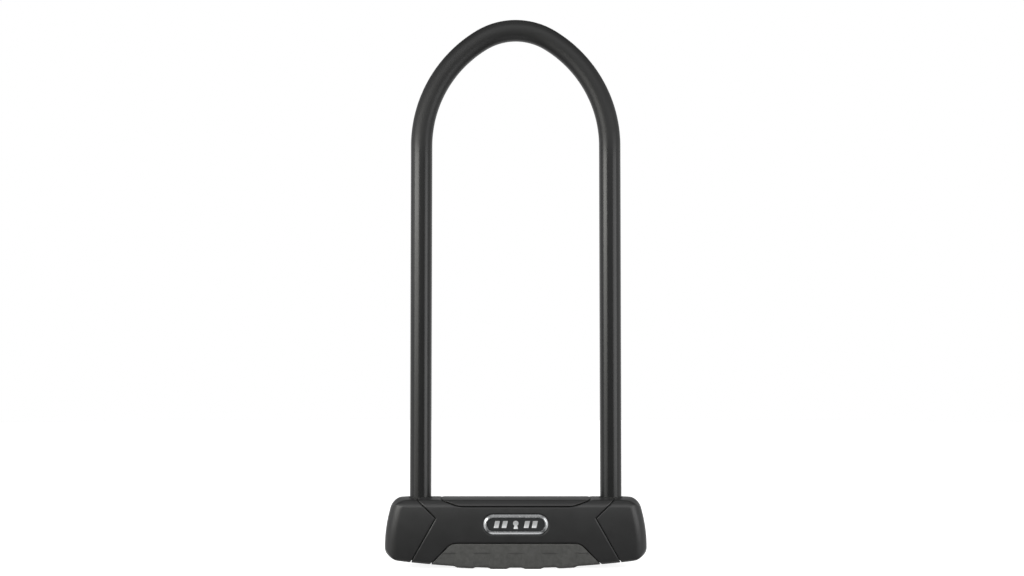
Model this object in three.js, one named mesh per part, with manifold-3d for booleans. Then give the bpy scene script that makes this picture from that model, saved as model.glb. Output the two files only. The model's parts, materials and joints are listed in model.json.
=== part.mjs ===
// A U lock for bicycles: a long coated shackle, and a crossbar that bolts both of its legs.
//
// Millimetres, +Z up. The origin lies on the surface that the crossbar stands on, under its middle.
// +X runs along the crossbar and the badge faces -Y.
// The lock rests shut but not locked: the bolts are drawn in.
import * as THREE from "three";
import { mergeVertices } from "three/addons/utils/BufferGeometryUtils.js";
import Module from "manifold-3d";

const wasm = await Module();
wasm.setup();

// ---------- driving dimensions ----------

// Shackle: a square steel bar in a thin sleeve.
// Each side of the arch is one wide arc, and a tighter arc tops it.
const LEG_X = 61.3;
const LEG_TIP_Z = 13;
const ARCH_START_Z = 272;
const ARCH_TOP_Z = 347.8;
const ARCH_TOP_RADIUS = 43;
const BAR_HALF = 6.5;
const BAR_CORNER = 4.2;
const SLEEVE_WALL = 0.35;
const SLEEVE_GAP = 0.1;
const SLEEVE_END_Z = 42.5;
const TIP_TAPER = { inset: 0.3, height: 2.4, reach: 4 };
const LEG_STATIONS = 2;
const SIDE_STATIONS = 7;
const TOP_STATIONS = 9;

// Casing: the outer form that every cover of the crossbar is cut from.
// Its top and its faces are slightly crowned: each pair there is a half depth and its height.
const CASING_TOP = 44.3;
const CASING_BASE = 0.75;
const CASING_WIDEST_Z = 13.5;
const CASING_HALF_LENGTH = 83.75;
const CASING_HALF_DEPTH = 18.5;
const SIDE_RADIUS = 90;
const BASE_RADIUS = 600;
const BASE_FLAT_HALF = 17;
const BASE_STATIONS = [36, 56];
const SIDE_HEIGHTS = [25, 35];
const EDGE_ROUND = 5.4;
const TOP_CORNER = 5.5;
const LOW_CORNER = 7;
const FACE_CROWN = [[17.7, -2], [18.5, 15], [18.5, 35.5], [18.1, 41.9]];
const TOP_CROWN = [[13.3, 43.1], [9, 43.85], [4.5, CASING_TOP]];
const FAR = 60;

// Seams and the two strips let into the casing.
const SEAM_GAP = 0.4;
const SEAM_TOP_X = 64.3;
const SEAM_NOSE = [50.9, 32.2];
const SEAM_FOOT_X = 69.7;
const INLAY = { halfWidth: 36.1, edge: 39.7, end: 46, slope: Math.atan2(4.6, 12.9), radius: 10 };
const GRIP = { halfWidth: 40.7, edge: 16.2, end: -1, slope: Math.PI / 4, radius: 7 };
const STRIP_GAP = 0.45;
const GRIP_PROUD = 0.75;
const RIB_PITCH = 21.5;
const RECESS_HALF = 4.85;
const RECESS_TOP = 10.3;
const CORE = { halfDepth: 16.2, top: 42.2, base: 3.9, chamfer: 2.6 };
const SEAL = { flange: 8.6, flangeCorner: 3, flangeTop: 43.4, lip: 8, lipCorner: 5.2, lipTop: 44.8 };

// Steel housing and what it holds.
const HOUSING = { halfLength: 75, halfDepth: 13.6, base: 7, top: 40.4, wall: 2.8, corner: 3 };
const FIT = 0.3;
const INSIDE_HALF = 10.5;
const INSIDE_BASE = 10.1;
const INSIDE_TOP = 37.3;
const SOCKET_HALF = 7.8;
const END_PLUG_FROM = 69.4;
const FASTENER_X = 72.1;
const CROSS_PIN_Z = 23.5;
const CROSS_PIN_RADIUS = 1.5;
const SCREW = { head: 2.4, headBase: 5, headTop: 6, shank: 1.15, top: 18, socket: 1.1, socketDepth: 0.65 };

// Lock cylinder and drive.
const CYLINDER_RADIUS = 8.5;
const CYLINDER_TOP = 25.4;
const CYLINDER_PIN = { x: 9.3, z: 15, radius: 1.4 };
const BARREL_RADIUS = 6.45;
const BARREL_BORE = 5.3;
const BARREL_BASE = 7.05;
const BARREL_FLOOR = 8.5;
const BARREL_TOP = 27.2;
const TURNING_GAP = 0.15;
const SIDEBAR = { half: 0.85, inner: 4.4, outer: 6.3, base: 8.9, top: 24.8, groove: 1.4 };
const DISC_COUNT = 9;
const DISC_RADIUS = 5.15;
const DISC_THICKNESS = 1.45;
const DISC_PITCH = 1.83;
const KEYWAY = [1.55, 3.2];
const FALSE_GATE = { depth: 0.6, half: 0.6 };
const GUARD = { base: 4.7, top: 6.7 };
const RING = { inner: 6.1, outer: 8, base: 25.6, top: 26.3, groove: 5.9, mouth: 1.5 };
const CAM = { base: 27.4, thickness: 1.4, radius: 7, tongueBase: 26.7, tongueLength: 6.2, tongueHalf: 1.4 };
const DRIVE_PIN_ORBIT = 4;
const DRIVE_PIN_RADIUS = 1.5;
const DRIVE_PIN_TOP = 33;

// Bolts: drawn in at rest, and pushed out by the drive pins as the plug turns a quarter turn.
const BOLT_HALF_WIDTH = 7.3;
const BOLT_BASE = 24.4;
const BOLT_TOP = 33.2;
const BOLT_TIP_X = 54.4;
const BOLT_SHOULDER_X = 14;
const BOLT_SIDE_GAP = 0.3;
const TAIL_BASE = 29;
const TAIL_INNER_Y = 0.4;
const SLOT_END_Y = 5.8;
const SLOT_PLAY = 0.2;
const TAIL_WALL = 1.8;
const NOTCH_DEPTH = 5.6;
const GUIDE_FROM = 11.2;
const GUIDE_POCKETS = [[14.7, 30], [33, 49.7]];
const GUIDE_POCKET = { half: 7.5, top: 21 };
const KEEPER_HALF = 10.7;
const KEEPER_GAP = 0.6;
const DRAIN_RADIUS = 2;

// Keyhole in the underside, shut by a sprung shutter that slides along +X.
const BEZEL = { from: -8.5, to: 24, half: 8.2, face: 1, back: 6.6, corner: 4 };
const KEYHOLE = { halfX: 4.6, halfY: 4.9, corner: 2 };
const SHUTTER = { from: -5.5, to: 7.6, half: 5.3, face: 2.7, back: 4.2, tab: 1, tabTop: 6.3, travel: 10.6 };
const GROOVE = { places: [-1.6, 0, 1.6], halfWidth: 0.4, halfLength: 3, depth: 0.4 };
const SPRING = { from: 8.2, to: 21.2, z: 4.5, radius: 1.2, wire: 0.24, turns: 6 };

// Badge on the front: a plate with a plain emblem in a raised ring.
const BADGE = { z: 28.4, halfLength: 20.5, halfHeight: 6.25, ringWidth: 2, proud: 0.7, seat: 1.2 };
const PLATE_SINK = 0.7;
const RELIEF = 0.4;
const EMBLEM_BAR = { middles: [-12, -7, 7, 12], halfWidth: 1.5, halfHeight: 2.2, lean: 0.5 };
const EMBLEM_KEYHOLE = { up: 0.7, radius: 1.7, drop: 2.8, footHalf: 1.4, neckHalf: 0.7 };

// ---------- helpers ----------

// The closed body of a geometry whose faces share corners.
function solid(geometry) {
  const source = geometry.index ? geometry.toNonIndexed() : geometry;
  const bare = new THREE.BufferGeometry();
  bare.setAttribute("position", source.getAttribute("position"));
  const merged = mergeVertices(bare, 1e-4);
  const vertProperties = merged.getAttribute("position").array;
  const triVerts = new Uint32Array(merged.index.array);
  return new wasm.Manifold(new wasm.Mesh({ numProp: 3, vertProperties, triVerts }));
}

function geometryOf(body) {
  const { vertProperties, triVerts } = body.getMesh();
  const geometry = new THREE.BufferGeometry();
  geometry.setAttribute("position", new THREE.BufferAttribute(vertProperties, 3));
  geometry.setIndex(new THREE.BufferAttribute(triVerts, 1));
  geometry.computeVertexNormals();
  return geometry;
}

function joined(bodies) {
  return bodies.reduce((all, body) => all.add(body));
}

// The shape whose corners are [x, y, radius], each arc in so many steps.
function outline(corners, steps = 2) {
  const at = (i) => new THREE.Vector2(...corners[(i + corners.length) % corners.length]);
  const points = corners.flatMap(([, , radius = 0], i) => {
    if (!radius) return [at(i)];
    const back = at(i - 1).sub(at(i)).normalize();
    const ahead = at(i + 1).sub(at(i)).normalize();
    const half = Math.acos(back.dot(ahead)) / 2;
    const centre = back.clone().add(ahead).setLength(radius / Math.sin(half)).add(at(i));
    const start = back.clone().multiplyScalar(radius / Math.tan(half)).add(at(i));
    const turn = -Math.sign(back.cross(ahead)) * (Math.PI - 2 * half);
    const step = turn / steps;
    return Array.from({ length: steps + 1 }, (_, k) => start.clone().rotateAround(centre, step * k));
  });
  return new THREE.Shape(points);
}

function rectangle(x0, x1, y0, y1, radius = 0, steps = 2) {
  return outline([[x0, y0, radius], [x1, y0, radius], [x1, y1, radius], [x0, y1, radius]], steps);
}

function square(half, radius) {
  return rectangle(-half, half, -half, half, radius);
}

function withHole(shape, hole) {
  shape.holes.push(hole);
  return shape;
}

function extruded(shape, length) {
  return new THREE.ExtrudeGeometry(shape, { depth: length, bevelEnabled: false, curveSegments: 10 });
}

// Prisms along each axis. The shape's own x and y become the other two axes, in X, Y, Z order.
function alongX(shape, from, to) {
  const turn = new THREE.Matrix4();
  turn.makeBasis(new THREE.Vector3(0, 1, 0), new THREE.Vector3(0, 0, 1), new THREE.Vector3(1, 0, 0));
  return solid(extruded(shape, to - from).applyMatrix4(turn).translate(from, 0, 0));
}

function alongY(shape, from, to) {
  return solid(extruded(shape, to - from).rotateX(Math.PI / 2).translate(0, to, 0));
}

function alongZ(shape, from, to) {
  return solid(extruded(shape, to - from).translate(0, 0, from));
}

function box(x0, x1, y0, y1, z0, z1) {
  const geometry = new THREE.BoxGeometry(x1 - x0, y1 - y0, z1 - z0);
  return solid(geometry.translate((x0 + x1) / 2, (y0 + y1) / 2, (z0 + z1) / 2));
}

// Upright round bar. A lying one is made by lyingRod.
function rod(x, y, radius, from, to, sides = 24) {
  const geometry = new THREE.CylinderGeometry(radius, radius, to - from, sides);
  return solid(geometry.rotateX(Math.PI / 2).translate(x, y, (from + to) / 2));
}

// Round bar that lies along Y, centred on the crossbar's mid-plane.
function lyingRod(x, z, radius, half, sides = 16) {
  return solid(new THREE.CylinderGeometry(radius, radius, 2 * half, sides).translate(x, 0, z));
}

// ---------- shackle ----------

// The shackle's centre line from leg tip to leg tip, one station for each corner of the swept form.
class ShackleLine extends THREE.Curve {
  constructor(tipZ) {
    super();
    const rise = ARCH_TOP_Z - ARCH_START_Z;
    const top = ARCH_TOP_RADIUS;
    const side = (LEG_X ** 2 + rise ** 2 - 2 * rise * top) / (2 * (LEG_X - top));
    const sideCentre = new THREE.Vector2(LEG_X - side, ARCH_START_Z);
    const topCentre = new THREE.Vector2(0, ARCH_TOP_Z - top);
    const join = topCentre.clone().sub(sideCentre).angle();
    this.stations = [];
    for (let i = 0; i < LEG_STATIONS; i++) {
      this.addStation(LEG_X, tipZ + ((ARCH_START_Z - tipZ) * i) / LEG_STATIONS, 0);
    }
    for (let i = 0; i < SIDE_STATIONS; i++) this.addArc(sideCentre, side, (join * i) / SIDE_STATIONS);
    for (let i = 0; i <= TOP_STATIONS; i++) {
      this.addArc(topCentre, top, join + ((Math.PI - 2 * join) * i) / TOP_STATIONS);
    }
    const risen = this.stations.slice(0, LEG_STATIONS + SIDE_STATIONS).reverse();
    for (const { point, heading } of risen) this.addStation(-point.x, point.z, Math.PI - heading);
  }

  addArc(centre, radius, angle) {
    this.addStation(centre.x + radius * Math.cos(angle), centre.y + radius * Math.sin(angle), angle);
  }

  addStation(x, z, heading) {
    this.stations.push({ point: new THREE.Vector3(x, 0, z), heading });
  }

  stationAt(u) {
    return this.stations[Math.round(u * (this.stations.length - 1))];
  }

  getPointAt(u) {
    return this.stationAt(u).point.clone();
  }

  getTangentAt(u) {
    const { heading } = this.stationAt(u);
    return new THREE.Vector3(-Math.sin(heading), 0, Math.cos(heading));
  }
}

function swept(section, line) {
  const steps = line.stations.length - 1;
  return solid(new THREE.ExtrudeGeometry(section, { steps, extrudePath: line }));
}

// A ring whose bore widens upwards at 45 degrees: it turns the corners off a leg's tip.
function tipCutter(x) {
  const { inset, height, reach } = TIP_TAPER;
  const bore = BAR_HALF - inset;
  const outer = BAR_HALF + reach;
  const profile = [[bore, -1], [outer, -1], [outer, height], [bore + height, height], [bore, 0], [bore, -1]];
  const points = profile.map(([r, z]) => new THREE.Vector2(r, z));
  return solid(new THREE.LatheGeometry(points, 24).rotateX(Math.PI / 2).translate(x, 0, LEG_TIP_Z));
}

function shackleBar() {
  let bar = swept(square(BAR_HALF, BAR_CORNER), new ShackleLine(LEG_TIP_Z));
  for (const side of [-1, 1]) {
    const mouth = side * (LEG_X - BAR_HALF - 1);
    const floor = side * (LEG_X - BAR_HALF + NOTCH_DEPTH);
    const across = BAR_HALF + 1;
    const [from, to] = [Math.min(mouth, floor), Math.max(mouth, floor)];
    bar = bar.subtract(box(from, to, -across, across, BOLT_BASE - 1, BOLT_TOP + 1));
    bar = bar.subtract(tipCutter(side * LEG_X));
  }
  return bar;
}

function shackleSleeve() {
  const inner = BAR_HALF + SLEEVE_GAP;
  const outer = inner + SLEEVE_WALL;
  const section = withHole(
    square(outer, BAR_CORNER + SLEEVE_GAP + SLEEVE_WALL),
    square(inner, BAR_CORNER + SLEEVE_GAP),
  );
  return swept(section, new ShackleLine(SLEEVE_END_Z));
}

// ---------- casing and its covers ----------

function sideX(z) {
  return CASING_HALF_LENGTH - (z - CASING_WIDEST_Z) ** 2 / (2 * SIDE_RADIUS);
}

function baseZ(x) {
  return CASING_BASE + Math.max(0, (x ** 2 - BASE_FLAT_HALF ** 2) / (2 * BASE_RADIUS));
}

// The crossbar's section: crowned on top and on both faces. With grow its faces stand out further.
function crown(grow) {
  const right = [...FACE_CROWN.map(([y, z]) => [y + grow, z]), ...TOP_CROWN];
  const left = right.map(([y, z]) => [-y, z]).reverse();
  return alongX(outline([...right, ...left]), -CASING_HALF_LENGTH - 1, CASING_HALF_LENGTH + 1);
}

// The whole outer form. With grow it stands out further at its faces and underneath.
function casing(grow = 0) {
  const right = [
    [BASE_FLAT_HALF, baseZ(BASE_FLAT_HALF)],
    ...BASE_STATIONS.map((x) => [x, baseZ(x)]),
    [CASING_HALF_LENGTH, baseZ(CASING_HALF_LENGTH), LOW_CORNER],
    ...SIDE_HEIGHTS.map((z) => [sideX(z), z]),
    [sideX(CASING_TOP), CASING_TOP, TOP_CORNER],
  ];
  const left = right.map(([x, z, radius]) => [-x, z, radius]).reverse();
  const depth = 2 * (CASING_HALF_DEPTH - EDGE_ROUND);
  const geometry = new THREE.ExtrudeGeometry(outline([...right, ...left]), {
    depth,
    bevelThickness: EDGE_ROUND + grow,
    bevelSize: EDGE_ROUND + grow,
    bevelOffset: -EDGE_ROUND,
    bevelSegments: 3,
  });
  return solid(geometry.rotateX(Math.PI / 2).translate(0, depth / 2, 0)).intersect(crown(grow));
}

// What lies beyond the right end's V-shaped seam, with its edge moved out by shift.
function beyondSeam(shift) {
  const [noseX, noseZ] = SEAM_NOSE;
  const corners = [
    [SEAM_TOP_X + shift, CASING_TOP + 1],
    [noseX + shift, noseZ],
    [SEAM_FOOT_X + shift, -1],
    [CASING_HALF_LENGTH + 5, -1],
    [CASING_HALF_LENGTH + 5, CASING_TOP + 1],
  ];
  return alongY(outline(corners), -FAR, FAR);
}

function turnedRound(body) {
  return solid(geometryOf(body).rotateZ(Math.PI));
}

// Front view of a strip: its long edge lies at one height, and its ends slope out towards z = end.
function strip({ halfWidth, edge, end, slope, radius }, grow = 0) {
  const z = edge + Math.sign(edge - end) * grow;
  const corner = halfWidth + grow * Math.tan(slope / 2);
  const foot = corner + Math.abs(z - end) / Math.tan(slope);
  const corners = [[-foot, end], [-corner, z, radius + grow], [corner, z, radius + grow], [foot, end]];
  return alongY(outline(corners), -FAR, FAR);
}

// The form under both strips, smaller by gap.
function core(gap = 0) {
  const { halfDepth, top, base, chamfer } = CORE;
  const half = halfDepth - gap;
  const right = [
    [half - chamfer, base + gap],
    [half, base + gap + chamfer],
    [half, top - gap - chamfer],
    [half - chamfer, top - gap],
  ];
  const left = right.map(([y, z]) => [-y, z]).reverse();
  return alongX(outline([...right, ...left]), -FAR - CASING_HALF_LENGTH, FAR + CASING_HALF_LENGTH);
}

function housingSpace() {
  const half = HOUSING.halfDepth + FIT;
  const end = HOUSING.halfLength + FIT;
  return box(-end, end, -half, half, HOUSING.base - FIT, HOUSING.top + FIT);
}

function sealSpace(side) {
  const half = SEAL.flange + FIT;
  return box(side * LEG_X - half, side * LEG_X + half, -half, half, HOUSING.top - 2, CASING_TOP + 2);
}

function bezelSpace() {
  const { from, to, half, corner } = BEZEL;
  return alongZ(rectangle(from - FIT, to + FIT, -half - FIT, half + FIT, corner), -2, HOUSING.base);
}

// Both centre covers in one, before they are parted along the mid-plane.
function centreCover() {
  const strips = strip(INLAY, STRIP_GAP).add(strip(GRIP, STRIP_GAP)).subtract(core(FIT));
  return casing()
    .subtract(beyondSeam(-SEAM_GAP / 2))
    .subtract(turnedRound(beyondSeam(-SEAM_GAP / 2)))
    .subtract(housingSpace())
    .subtract(strips)
    .subtract(sealSpace(1))
    .subtract(sealSpace(-1))
    .subtract(bezelSpace());
}

function badgeOval(inset) {
  const { halfLength, halfHeight, z } = BADGE;
  const half = halfHeight - inset;
  return rectangle(-halfLength + inset, halfLength - inset, z - half, z + half, half - 0.01, 4);
}

function frontCover() {
  const half = box(-FAR * 2, FAR * 2, -FAR, -FIT / 2, -FAR, FAR * 2);
  const face = -CASING_HALF_DEPTH;
  const seat = alongY(badgeOval(-STRIP_GAP), face - 1, face + BADGE.seat);
  return centreCover().intersect(half).subtract(seat);
}

function rearCover() {
  const half = box(-FAR * 2, FAR * 2, FIT / 2, FAR, -FAR, FAR * 2);
  return centreCover().intersect(half);
}

function endCap() {
  const head = rod(FASTENER_X, 0, SCREW.head + FIT, -1, SCREW.headTop);
  const shank = rod(FASTENER_X, 0, SCREW.shank + FIT, -1, HOUSING.base);
  return casing()
    .intersect(beyondSeam(SEAM_GAP / 2))
    .subtract(housingSpace())
    .subtract(sealSpace(1))
    .subtract(head)
    .subtract(shank);
}

function topInlay() {
  return casing().intersect(strip(INLAY)).subtract(core());
}

// The grip stands proud of the casing except in its finger recesses: the outer two run on to its ends.
function bottomGrip() {
  const recesses = [-2, -1, 0, 1, 2].map((k) => {
    const middle = k * RIB_PITCH;
    const from = k === -2 ? -FAR : middle - RECESS_HALF;
    const to = k === 2 ? FAR : middle + RECESS_HALF;
    return box(from, to, -FAR, FAR, -FAR, RECESS_TOP);
  });
  return casing(GRIP_PROUD)
    .intersect(strip(GRIP))
    .subtract(joined(recesses).subtract(casing()))
    .subtract(core())
    .subtract(bezelSpace());
}

// A gasket whose lip stands a little above the covers.
function legSeal() {
  const hole = () => square(BAR_HALF + SLEEVE_WALL + SLEEVE_GAP + FIT, BAR_CORNER + SLEEVE_WALL + FIT);
  const base = HOUSING.top + FIT;
  const flange = alongZ(withHole(square(SEAL.flange, SEAL.flangeCorner), hole()), base, SEAL.flangeTop);
  const lip = alongZ(withHole(square(SEAL.lip, SEAL.lipCorner), hole()), base, SEAL.lipTop);
  return flange.add(lip).translate([LEG_X, 0, 0]);
}

function capScrew() {
  const { head, headBase, headTop, shank, top, socket, socketDepth } = SCREW;
  const hexagon = rod(FASTENER_X, 0, socket, 0, headBase + socketDepth, 6);
  return rod(FASTENER_X, 0, head, headBase, headTop - 0.05)
    .add(rod(FASTENER_X, 0, shank, headTop - 0.5, top, 12))
    .subtract(hexagon);
}

// ---------- badge ----------

function badgeRing() {
  const face = -CASING_HALF_DEPTH;
  const ring = alongY(badgeOval(0), face - BADGE.proud, face + BADGE.seat - FIT);
  return ring.subtract(alongY(badgeOval(BADGE.ringWidth), -FAR, FAR));
}

// The plate carries a plain keyhole between two pairs of slanted bars.
function badgePlate() {
  const { z, seat, ringWidth } = BADGE;
  const back = -CASING_HALF_DEPTH + seat - FIT;
  const face = back - PLATE_SINK;
  const raised = (shape) => alongY(shape, face - RELIEF, face + RELIEF);
  let plate = alongY(badgeOval(ringWidth + 0.2), face, back);
  const { middles, halfWidth, halfHeight, lean } = EMBLEM_BAR;
  const [low, high] = [z - halfHeight, z + halfHeight];
  for (const x of middles) {
    const [left, right] = [x - halfWidth, x + halfWidth];
    const foot = [[left - lean, low], [right - lean, low]];
    const top = [[right + lean, high], [left + lean, high]];
    plate = plate.add(raised(outline([...foot, ...top])));
  }
  const { up, radius, drop, footHalf, neckHalf } = EMBLEM_KEYHOLE;
  const head = lyingRod(0, z + up, radius, RELIEF).translate([0, face, 0]);
  const foot = outline([[-footHalf, z - drop], [footHalf, z - drop], [neckHalf, z], [-neckHalf, z]]);
  return plate.add(head).add(raised(foot));
}

// ---------- steel housing and what fills it ----------

function steelHousing() {
  const { halfLength, halfDepth, base, top, wall, corner } = HOUSING;
  const inner = rectangle(-halfDepth + wall, halfDepth - wall, base + wall, top - wall, 1);
  const section = withHole(rectangle(-halfDepth, halfDepth, base, top, corner), inner);
  const leg = BAR_HALF + FIT;
  let tube = alongX(section, -halfLength, halfLength);
  for (const side of [-1, 1]) {
    const x = side * LEG_X;
    const fastener = side * FASTENER_X;
    tube = tube.subtract(box(x - leg, x + leg, -leg, leg, top - wall - 1, top + 1));
    tube = tube.subtract(lyingRod(fastener, CROSS_PIN_Z, CROSS_PIN_RADIUS + TURNING_GAP, FAR));
    tube = tube.subtract(rod(fastener, 0, SCREW.shank + FIT, base - 1, base + wall + 1));
  }
  return tube
    .subtract(rod(0, 0, CYLINDER_RADIUS + TURNING_GAP, base - 1, base + wall + 1, 32))
    .subtract(cylinderPin(TURNING_GAP, FAR));
}

function endPlug() {
  const plug = box(END_PLUG_FROM, HOUSING.halfLength, -INSIDE_HALF, INSIDE_HALF, INSIDE_BASE, INSIDE_TOP);
  return plug
    .subtract(lyingRod(FASTENER_X, CROSS_PIN_Z, CROSS_PIN_RADIUS + TURNING_GAP, FAR))
    .subtract(rod(FASTENER_X, 0, SCREW.shank + TURNING_GAP, INSIDE_BASE - 1, SCREW.top + 1));
}

function endPlugPin() {
  return lyingRod(FASTENER_X, CROSS_PIN_Z, CROSS_PIN_RADIUS, HOUSING.halfDepth - 0.1);
}

// The passage of the right bolt, a little wider than the bolt.
function boltPassage(from, to) {
  const half = BOLT_HALF_WIDTH + BOLT_SIDE_GAP;
  return box(from, to, -half, half, BOLT_BASE - BOLT_SIDE_GAP, BOLT_TOP + BOLT_SIDE_GAP);
}

function legSocket() {
  const [from, to] = [LEG_X - SOCKET_HALF, LEG_X + SOCKET_HALF];
  const leg = BAR_HALF + FIT;
  const drain = rod(LEG_X, 0, DRAIN_RADIUS, INSIDE_BASE - 1, INSIDE_BASE + 3, 16);
  return box(from, to, -INSIDE_HALF, INSIDE_HALF, INSIDE_BASE, INSIDE_TOP)
    .subtract(box(LEG_X - leg, LEG_X + leg, -leg, leg, LEG_TIP_Z - 1, INSIDE_TOP + 1))
    .subtract(boltPassage(from - 1, LEG_X - BAR_HALF + NOTCH_DEPTH + FIT))
    .subtract(drain);
}

// A die-cast block that carries one bolt, hollowed from below.
function boltGuide() {
  const to = LEG_X - SOCKET_HALF - FIT;
  const block = box(GUIDE_FROM, to, -INSIDE_HALF, INSIDE_HALF, INSIDE_BASE, INSIDE_TOP);
  const { half, top } = GUIDE_POCKET;
  const pockets = GUIDE_POCKETS.map(([x0, x1]) => box(x0, x1, -half, half, INSIDE_BASE - 1, top));
  return block.subtract(boltPassage(GUIDE_FROM - 1, to + 1)).subtract(joined(pockets));
}

function keeperPlate() {
  const [base, top] = [BOLT_TOP + KEEPER_GAP, INSIDE_TOP];
  return box(-KEEPER_HALF, KEEPER_HALF, -INSIDE_HALF, INSIDE_HALF, base, top);
}

// ---------- lock cylinder ----------

// The cross pin that locks the cylinder body in the housing.
function cylinderPin(grow = 0, half = HOUSING.halfDepth - 0.1) {
  const { x, z, radius } = CYLINDER_PIN;
  return lyingRod(x, z, radius + grow, half);
}

// The groove on its left takes the sidebar when the plug is locked.
function cylinderBody() {
  const { half, base, top, groove: depth } = SIDEBAR;
  const reach = BARREL_RADIUS + depth;
  const groove = box(-reach, 0, -half - FIT, half + FIT, base - FIT, top + FIT);
  return rod(0, 0, CYLINDER_RADIUS, BARREL_BASE, CYLINDER_TOP, 32)
    .subtract(rod(0, 0, BARREL_RADIUS + TURNING_GAP, BARREL_BASE - 1, CYLINDER_TOP + 1, 32))
    .subtract(groove)
    .subtract(cylinderPin(TURNING_GAP, FAR));
}

function keyway(grow) {
  const [halfX, halfY] = KEYWAY;
  return rectangle(-halfX - grow, halfX + grow, -halfY - grow, halfY + grow, 1);
}

function plugBarrel() {
  const { half, inner, base, top } = SIDEBAR;
  const clip = rod(0, 0, CYLINDER_RADIUS, RING.base - 0.1, RING.top + 0.1, 32);
  const clipFloor = rod(0, 0, RING.groove, RING.base - 1, RING.top + 1, 32);
  const tongue = CAM.tongueHalf + 0.2;
  return rod(0, 0, BARREL_RADIUS, BARREL_BASE, BARREL_TOP, 32)
    .subtract(rod(0, 0, BARREL_BORE, BARREL_FLOOR, BARREL_TOP + 1))
    .subtract(alongZ(keyway(0.2), BARREL_BASE - 1, BARREL_FLOOR + 1))
    .subtract(box(-half - TURNING_GAP, half + TURNING_GAP, inner - FIT, FAR, base - FIT, top + FIT))
    .subtract(clip.subtract(clipFloor))
    .subtract(box(-FAR, FAR, -tongue, tongue, CAM.tongueBase - 0.2, BARREL_TOP + 1));
}

// One slotted disc of the stack. A gate in its rim lets the sidebar in, and a false gate doesn't.
function disc() {
  const { half, inner } = SIDEBAR;
  const round = new THREE.Shape().absarc(0, 0, DISC_RADIUS, 0, 2 * Math.PI);
  const gate = box(-half - FIT, half + FIT, inner - FIT, FAR, -1, DISC_THICKNESS + 1);
  const side = FALSE_GATE.half;
  const falseGate = box(DISC_RADIUS - FALSE_GATE.depth, FAR, -side, side, -1, DISC_THICKNESS + 1);
  return alongZ(withHole(round, keyway(0)), 0, DISC_THICKNESS).subtract(gate).subtract(falseGate);
}

function sidebar() {
  const { half, inner, outer, base, top } = SIDEBAR;
  return box(-half, half, inner, outer, base, top);
}

function guardDisc() {
  const { base, top } = GUARD;
  return rod(0, 0, BARREL_RADIUS - 0.1, base, top, 32).subtract(alongZ(keyway(0.2), base - 1, top + 1));
}

function retainingRing() {
  const { inner, outer, base, top, mouth } = RING;
  return rod(0, 0, outer, base, top, 32)
    .subtract(rod(0, 0, inner, base - 1, top + 1, 32))
    .subtract(box(-mouth, mouth, -FAR, 0, base - 1, top + 1));
}

// The cam keys into the barrel's end, and its two pins stand opposite each other.
function driveCam() {
  const { base, thickness, radius, tongueBase, tongueLength, tongueHalf } = CAM;
  const plate = rod(0, 0, radius, base, base + thickness, 32);
  const hub = rod(0, 0, BARREL_BORE - 0.2, CYLINDER_TOP, base + 0.2);
  const tongue = box(-tongueLength, tongueLength, -tongueHalf, tongueHalf, tongueBase, base + 0.2);
  const pins = [-1, 1].map((side) => {
    const offset = side * DRIVE_PIN_ORBIT * Math.SQRT1_2;
    return rod(offset, offset, DRIVE_PIN_RADIUS, base + 0.5, DRIVE_PIN_TOP, 16);
  });
  return joined([plate, hub, tongue, ...pins]);
}

// The right bolt. Its tail reaches over the cam on one side of the middle, with a slot for a drive pin.
function bolt() {
  const pinX = -DRIVE_PIN_ORBIT * Math.SQRT1_2;
  const slotHalf = DRIVE_PIN_RADIUS + SLOT_PLAY;
  const tailEnd = pinX - slotHalf - TAIL_WALL;
  const body = box(BOLT_SHOULDER_X, BOLT_TIP_X, -BOLT_HALF_WIDTH, BOLT_HALF_WIDTH, BOLT_BASE, BOLT_TOP);
  const tail = box(tailEnd, BOLT_SHOULDER_X + 1, -BOLT_HALF_WIDTH, -TAIL_INNER_Y, TAIL_BASE, BOLT_TOP);
  const slot = box(pinX - slotHalf, pinX + slotHalf, -SLOT_END_Y, 0, TAIL_BASE - 1, BOLT_TOP + 1);
  return body.add(tail).subtract(slot);
}

// ---------- keyhole bezel, shutter and spring ----------

function keyholeBezel() {
  const { from, to, half, face, back, corner } = BEZEL;
  const { halfX, halfY } = KEYHOLE;
  const floor = SHUTTER.face - FIT;
  const track = [SHUTTER.from - FIT, SHUTTER.to + SHUTTER.travel + FIT, SHUTTER.half + FIT];
  const springHalf = SPRING.radius + SPRING.wire + FIT;
  return alongZ(rectangle(from, to, -half, half, corner), face, back)
    .subtract(alongZ(rectangle(-halfX, halfX, -halfY, halfY, KEYHOLE.corner), face - 1, back + 1))
    .subtract(box(track[0], track[1], -track[2], track[2], floor, back + 1))
    .subtract(box(0, SPRING.to + SPRING.wire + FIT, -springHalf, springHalf, floor, back + 1))
    .subtract(rod(0, 0, BARREL_RADIUS + TURNING_GAP, GUARD.base - FIT, back + 1, 32));
}

function keyholeShutter() {
  const { from, to, half, face, back, tab, tabTop } = SHUTTER;
  const { places, halfWidth, halfLength, depth } = GROOVE;
  const leaf = box(from, to, -half, half, face, back);
  const stop = box(to - tab, to, -half, half, back - depth, tabTop);
  const grooves = places.map((x) => {
    return box(x - halfWidth, x + halfWidth, -halfLength, halfLength, 0, face + depth);
  });
  return leaf.add(stop).subtract(joined(grooves));
}

class Helix extends THREE.Curve {
  constructor(length, radius, turns) {
    super();
    Object.assign(this, { length, radius, turns });
  }

  getPoint(t) {
    const angle = 2 * Math.PI * this.turns * t;
    return new THREE.Vector3(this.length * t, this.radius * Math.cos(angle), this.radius * Math.sin(angle));
  }
}

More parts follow.
